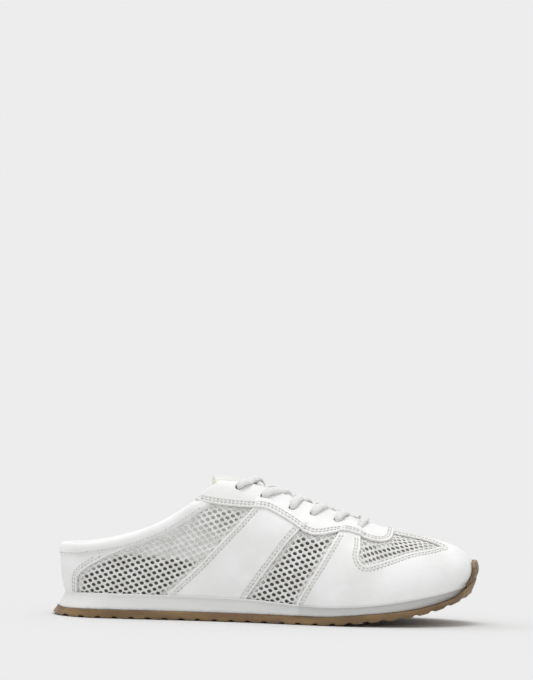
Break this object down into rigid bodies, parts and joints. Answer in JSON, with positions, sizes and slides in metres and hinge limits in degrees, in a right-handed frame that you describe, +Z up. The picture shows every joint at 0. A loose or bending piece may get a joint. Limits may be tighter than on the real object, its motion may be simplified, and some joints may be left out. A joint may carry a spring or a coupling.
{
  "type": "sneaker mule",
  "caption": "Backless lace-up sneaker with a low padded collar, mesh upper, leather overlays, foam midsole and gum tread.",
  "frame": {"origin": "on the floor under the middle of the heel", "axes": "+X towards the toe, +Y towards the inner side of this right shoe, +Z up"},
  "size_m": [0.2745, 0.0934, 0.0925],
  "materials": {
    "gum": "matte brown gum rubber",
    "foam": "moulded white foam, matt",
    "lining": "white knitted lining",
    "mesh": "white open mesh over a dark lining",
    "leather": "smooth white leather with a fine grain",
    "lace": "pale grey woven lace"
  },
  "bodies": {
    "root": {"outsole": "gum", "midsole": "foam", "insole": "lining", "upper": "mesh", "toe_cap": "leather", "eyestay": "leather", "saddle_lateral": "leather", "saddle_medial": "leather", "heel_counter": "leather", "collar_band": "leather", "tongue": "lining", "lace_bar": "lace", "lace_cross_1": "lace", "lace_cross_2": "lace", "lace_cross_3": "lace", "lace_cross_4": "lace", "lace_cross_5": "lace"}
  },
  "joints": []
}
